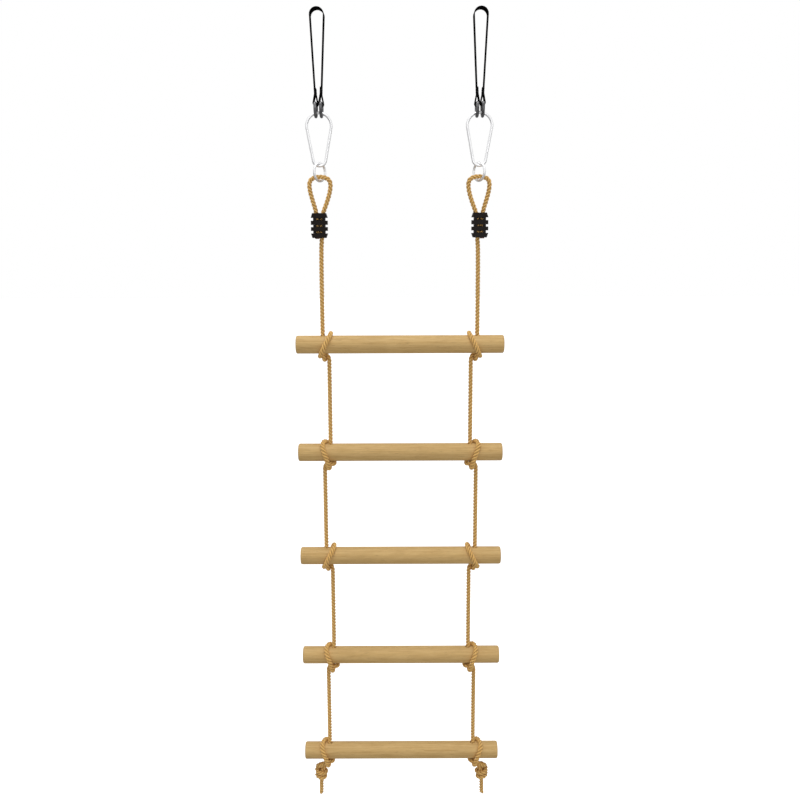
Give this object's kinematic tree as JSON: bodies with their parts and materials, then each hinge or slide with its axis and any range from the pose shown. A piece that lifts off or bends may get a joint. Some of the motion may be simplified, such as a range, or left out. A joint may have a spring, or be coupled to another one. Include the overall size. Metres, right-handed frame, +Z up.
{
  "type": "escape rope ladder",
  "caption": "Short hanging rope ladder with round wooden rungs hitched on two side ropes, carabiners and webbing hanging straps",
  "frame": {"origin": "midway between the undersides of the two strap crowns, where the hanging bars bear", "axes": "+Z up the hanging ladder, X along the rungs, the front faces -Y"},
  "size_m": [0.35, 0.0452, 1.3713],
  "materials": {
    "rung_wood": "sanded, unvarnished pale hardwood",
    "rope_fibre": "three-strand laid rope, golden tan",
    "clamp_plastic": "moulded black plastic",
    "zinc_steel": "bright zinc plate",
    "dark_steel": "dark plated wire",
    "webbing": "woven black webbing"
  },
  "bodies": {
    "straps": {"strap_left": "webbing", "d_ring_left_outer": "dark_steel", "d_ring_left_inner": "dark_steel", "strap_right": "webbing", "d_ring_right_outer": "dark_steel", "d_ring_right_inner": "dark_steel"},
    "carabiner_left": {"carabiner_body_left": "zinc_steel", "gate_pin_left": "zinc_steel"},
    "carabiner_right": {"carabiner_body_right": "zinc_steel", "gate_pin_right": "zinc_steel"},
    "gate_left": {"gate_left": "zinc_steel"},
    "gate_right": {"gate_right": "zinc_steel"},
    "ring_left": {"ring_left": "zinc_steel"},
    "ring_right": {"ring_right": "zinc_steel"},
    "section_1": {"rung_1": "rung_wood", "rope_left_1": "rope_fibre", "rope_right_1": "rope_fibre", "clamp_front_left": "clamp_plastic", "clamp_back_left": "clamp_plastic", "clamp_front_right": "clamp_plastic", "clamp_back_right": "clamp_plastic"},
    "section_2": {"rung_2": "rung_wood", "rope_left_2": "rope_fibre", "rope_right_2": "rope_fibre"},
    "section_3": {"rung_3": "rung_wood", "rope_left_3": "rope_fibre", "rope_right_3": "rope_fibre"},
    "section_4": {"rung_4": "rung_wood", "rope_left_4": "rope_fibre", "rope_right_4": "rope_fibre"},
    "section_5": {"rung_5": "rung_wood", "rope_left_5": "rope_fibre", "rope_right_5": "rope_fibre", "stopper_knot_left": "rope_fibre", "stopper_knot_right": "rope_fibre"}
  },
  "joints": [
    {"name": "ladder_swing", "type": "hinge", "parent": "straps", "child": "section_1", "pos_m": [0, 0, -0.159], "axis": [1, 0, 0], "range_deg": [-25, 25]},
    {"name": "carabiner_left_swing", "type": "hinge", "parent": "straps", "child": "carabiner_left", "pos_m": [-0.13, 0, -0.159], "axis": [1, 0, 0], "range_deg": [-25, 25]},
    {"name": "gate_left_open", "type": "hinge", "parent": "carabiner_left", "child": "gate_left", "pos_m": [-0.1428, 0, -0.2195], "axis": [0, 1, 0], "range_deg": [0, 25], "stiffness_Nm_per_rad": 0.02, "springref_deg": -8.59},
    {"name": "gate_right_open", "type": "hinge", "parent": "carabiner_right", "child": "gate_right", "pos_m": [0.1428, 0, -0.2195], "axis": [0, -1, 0], "range_deg": [0, 25], "stiffness_Nm_per_rad": 0.02, "springref_deg": -8.59},
    {"name": "carabiner_right_swing", "type": "hinge", "parent": "straps", "child": "carabiner_right", "pos_m": [0.13, 0, -0.159], "axis": [1, 0, 0], "range_deg": [-25, 25]},
    {"name": "ring_left_turn", "type": "hinge", "parent": "carabiner_left", "child": "ring_left", "pos_m": [-0.13, 0, -0.2519], "axis": [0, 0, 1], "range_deg": [-6, 28]},
    {"name": "ring_right_turn", "type": "hinge", "parent": "carabiner_right", "child": "ring_right", "pos_m": [0.13, 0, -0.2519], "axis": [0, 0, -1], "range_deg": [-6, 28]},
    {"name": "fold_below_rung_1", "type": "hinge", "parent": "section_1", "child": "section_2", "pos_m": [0, 0, -0.5705], "axis": [1, 0, 0], "range_deg": [-60, 60]},
    {"name": "fold_below_rung_2", "type": "hinge", "parent": "section_2", "child": "section_3", "pos_m": [0, 0, -0.757], "axis": [1, 0, 0], "range_deg": [-60, 60]},
    {"name": "fold_below_rung_3", "type": "hinge", "parent": "section_3", "child": "section_4", "pos_m": [0, 0, -0.9435], "axis": [1, 0, 0], "range_deg": [-60, 60]},
    {"name": "fold_below_rung_4", "type": "hinge", "parent": "section_4", "child": "section_5", "pos_m": [0, 0, -1.13], "axis": [1, 0, 0], "range_deg": [-60, 60]}
  ],
  "couplings": [
    {"joint": "carabiner_left_swing", "follows": "ladder_swing", "ratio": 1},
    {"joint": "carabiner_right_swing", "follows": "ladder_swing", "ratio": 1}
  ]
}
